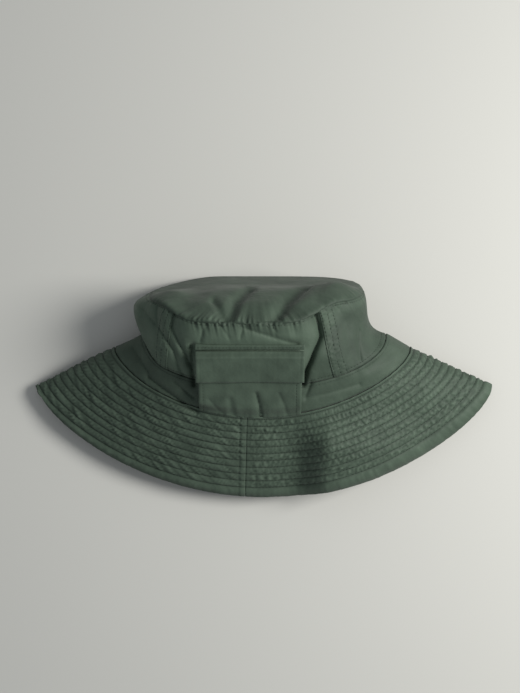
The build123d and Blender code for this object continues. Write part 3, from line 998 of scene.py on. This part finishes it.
class Stitches:
    """Rows of short rounded threads in one mesh."""

    def __init__(self):
        self.bm = bmesh.new()

    def row(self, points, normals):
        """Stitches from each point to the next, made as a mesh of their own first, which is quicker."""
        line = bmesh.new()
        for start, stop, outward in zip(points, points[1:], normals):
            along = (stop - start).normalized()
            across = outward.cross(along).normalized()
            half_length = 0.4 * (stop - start).length
            axes = (along * half_length, across * STITCH_HALF, along.cross(across) * STITCH_HALF)
            place = Matrix.Translation((start + stop) / 2 * MM) @ Matrix(axes).transposed().to_4x4()
            bmesh.ops.create_icosphere(line, subdivisions=1, radius=MM, matrix=place)
        mesh = bpy.data.meshes.new("row")
        line.to_mesh(mesh)
        line.free()
        self.bm.from_mesh(mesh)
        bpy.data.meshes.remove(mesh)

    def ring_row(self, lower, upper, start, stop, share_at, relief, lift):
        """A row round the hat; share_at gives its place between the rings from the climb."""
        first, last = lower.run(start), lower.run(stop)
        count = int((last - first) / (look().stitch_length / MM))
        spots = []
        for number in range(count + 1):
            angle = lower.angle_at(first + (last - first) * number / count)
            share = share_at((upper.at(angle) - lower.at(angle)).length)
            spots.append(cloth_spot(lower, upper, angle, share, relief, lift))
        self.row(*zip(*spots))

    def strip_row(self, seam, across):
        """A row up the crown, on the strip over a seam and a distance across from it."""
        angle = BAND_SEAM.angle_at(BAND_SEAM.run(seam) + across)
        shares = [0.03 + 0.94 * step / STRIP_STITCHES for step in range(STRIP_STITCHES + 1)]
        self.row(*zip(*(cloth_spot(BAND_SEAM, TIP_SEAM, angle, share, strip_relief(seam), STRIP + 0.2)
                        for share in shares)))

    def piece(self, name, *nodes):
        made = new_piece(name, self.bm, MATERIALS["thread"])
        if nodes:
            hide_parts(*nodes)


class BOONIE_OT_stitching(bpy.types.Operator):
    """Sew the quilting rows, the topstitched seams, the strips, the pocket and the flap"""

    bl_idname = "boonie.stitching"
    bl_label = "Stitching"

    def execute(self, context):
        quilt = Stitches()
        for row in range(ROW_COUNT):
            from_seam = FIRST_ROW + row * ROW_PITCH
            for start, stop in HALVES.values():
                quilt.ring_row(RIM, BRIM_SEAM, start, stop,
                               lambda climb: 1 - from_seam / climb, brim_relief, QUILT_LIFT)
        quilt.piece("quilting_stitches", "brim_quilting_thread")

        tip, band = Stitches(), Stitches()
        for start, stop in PANELS.values():
            tip.ring_row(BAND_SEAM, TIP_SEAM, start, stop, lambda climb: 1 - TOPSTITCH / climb,
                         panel_relief, SEAM_LIFT)
            band.ring_row(BAND_SEAM, TIP_SEAM, start, stop, lambda climb: TOPSTITCH / climb,
                          panel_relief, SEAM_LIFT)
        for start, stop in HALVES.values():
            band.ring_row(BRIM_SEAM, BAND_SEAM, start, stop, lambda climb: 1 - TOPSTITCH / climb,
                          band_relief, SEAM_LIFT)
        tip.piece("tip_seam_stitches", "tip_seam_thread")
        band.piece("band_seam_stitches", "band_seam_thread")

        strips = Stitches()
        outer = STRIP_WIDTH / 2 - STRIP_STITCH_INSET
        for seam in STRIPS.values():
            for across in (-outer, 0.0, outer):
                strips.strip_row(seam, across)
        strips.piece("strip_stitches")

        pocket = Stitches()
        half = POCKET_WIDTH / 2 - POCKET_STITCH_INSET
        for x in (-half, half):
            places = [POCKET_STITCH_INSET + POCKET_STITCH * step for step in range(20)]
            line = [on_plane(x, v, pocket_height(x, v) + 0.1) for v in places]
            pocket.row(line, [PLANE_OUT] * len(line))
        places = [-FLAP_WIDTH / 2 + 1.5 + POCKET_STITCH * step for step in range(31)]
        line = [on_plane(x, EDGE_START + 1.8, edge_height(x) + 0.05) for x in places]
        pocket.row(line, [PLANE_OUT] * len(line))
        pocket.piece("pocket_stitches")
        return {"FINISHED"}


# ---- Floor, lights and camera, in metres and watts ----
FLOOR_HALF = 3.0
WINDOW_PLACE = (0.92, 0.15, 0.85)
WINDOW_SIZE = 0.6
WINDOW_POWER = 19
ROOM_STRENGTH = 0.4
CAMERA_PLACE = (-4.3 * MM, 34.4 * MM, 1.437)
CAMERA_LENS = 85
CAMERA_SENSOR = 36


def area_light(name, place, target, size, power, tint):
    data = bpy.data.lights.new(name, "AREA")
    data.shape = "DISK"
    data.size = size
    data.energy = power
    data.color = colour(tint)[:3]
    light = bpy.data.objects.new(name, data)
    light.location = place
    light.rotation_euler = (Vector(target) - Vector(place)).to_track_quat("-Z", "Y").to_euler()
    bpy.context.scene.collection.objects.link(light)


class BOONIE_OT_stage(bpy.types.Operator):
    """Lay the pale floor, hang the lights and set the camera straight above the hat"""

    bl_idname = "boonie.stage"
    bl_label = "Floor, lights and camera"

    def execute(self, context):
        bm = bmesh.new()
        bmesh.ops.create_grid(bm, x_segments=2, y_segments=2, size=FLOOR_HALF)
        mesh = bpy.data.meshes.new("floor")
        bm.to_mesh(mesh)
        bm.free()
        floor = bpy.data.objects.new("floor", mesh)
        bpy.context.scene.collection.objects.link(floor)
        pale = bpy.data.materials.new("pale_floor")
        pale.use_nodes = True
        shader = pale.node_tree.nodes["Principled BSDF"]
        shader.inputs["Base Color"].default_value = colour("#c0c0bc")
        shader.inputs["Roughness"].default_value = 0.9
        mesh.materials.append(pale)

        world = bpy.data.worlds.new("soft_room")
        world.use_nodes = True
        sky = world.node_tree.nodes["Background"]
        sky.inputs["Color"].default_value = colour("#e9eef2")
        sky.inputs["Strength"].default_value = ROOM_STRENGTH
        bpy.context.scene.world = world
        area_light("window", WINDOW_PLACE, (0, 0, 0), WINDOW_SIZE, WINDOW_POWER, "#fffdf8")

        camera = bpy.data.objects.new("camera", bpy.data.cameras.new("camera"))
        camera.data.lens = CAMERA_LENS
        camera.data.sensor_width = CAMERA_SENSOR
        camera.location = CAMERA_PLACE
        bpy.context.scene.collection.objects.link(camera)
        bpy.context.scene.camera = camera
        bpy.context.scene.view_settings.view_transform = "Standard"
        return {"FINISHED"}


class BOONIE_PT_panel(bpy.types.Panel):
    """The hat's pieces, in the order they are sewn"""

    bl_label = "Boonie hat"
    bl_idname = "BOONIE_PT_panel"
    bl_space_type = "VIEW_3D"
    bl_region_type = "UI"
    bl_category = "Hat"

    def draw(self, context):
        for name in BoonieHatLook.__annotations__:
            self.layout.prop(context.scene.boonie_hat_look, name)
        for operator in OPERATORS:
            self.layout.operator(operator.bl_idname)


OPERATORS = (
    BOONIE_OT_stage, BOONIE_OT_brim, BOONIE_OT_lower_band, BOONIE_OT_crown_panels, BOONIE_OT_crown_tip,
    BOONIE_OT_lining, BOONIE_OT_pocket, BOONIE_OT_flap, BOONIE_OT_stitching,
)
CLASSES = (BoonieHatLook,) + OPERATORS + (BOONIE_PT_panel,)


def register():
    for cls in CLASSES:
        bpy.utils.register_class(cls)
    bpy.types.Scene.boonie_hat_look = bpy.props.PointerProperty(type=BoonieHatLook)


def unregister():
    del bpy.types.Scene.boonie_hat_look
    for cls in reversed(CLASSES):
        bpy.utils.unregister_class(cls)


def main():
    register()
    MATERIALS.update(make_materials(look()))
    for operator in OPERATORS:
        group, name = operator.bl_idname.split(".")
        getattr(getattr(bpy.ops, group), name)()


if __name__ == "__main__":
    main()
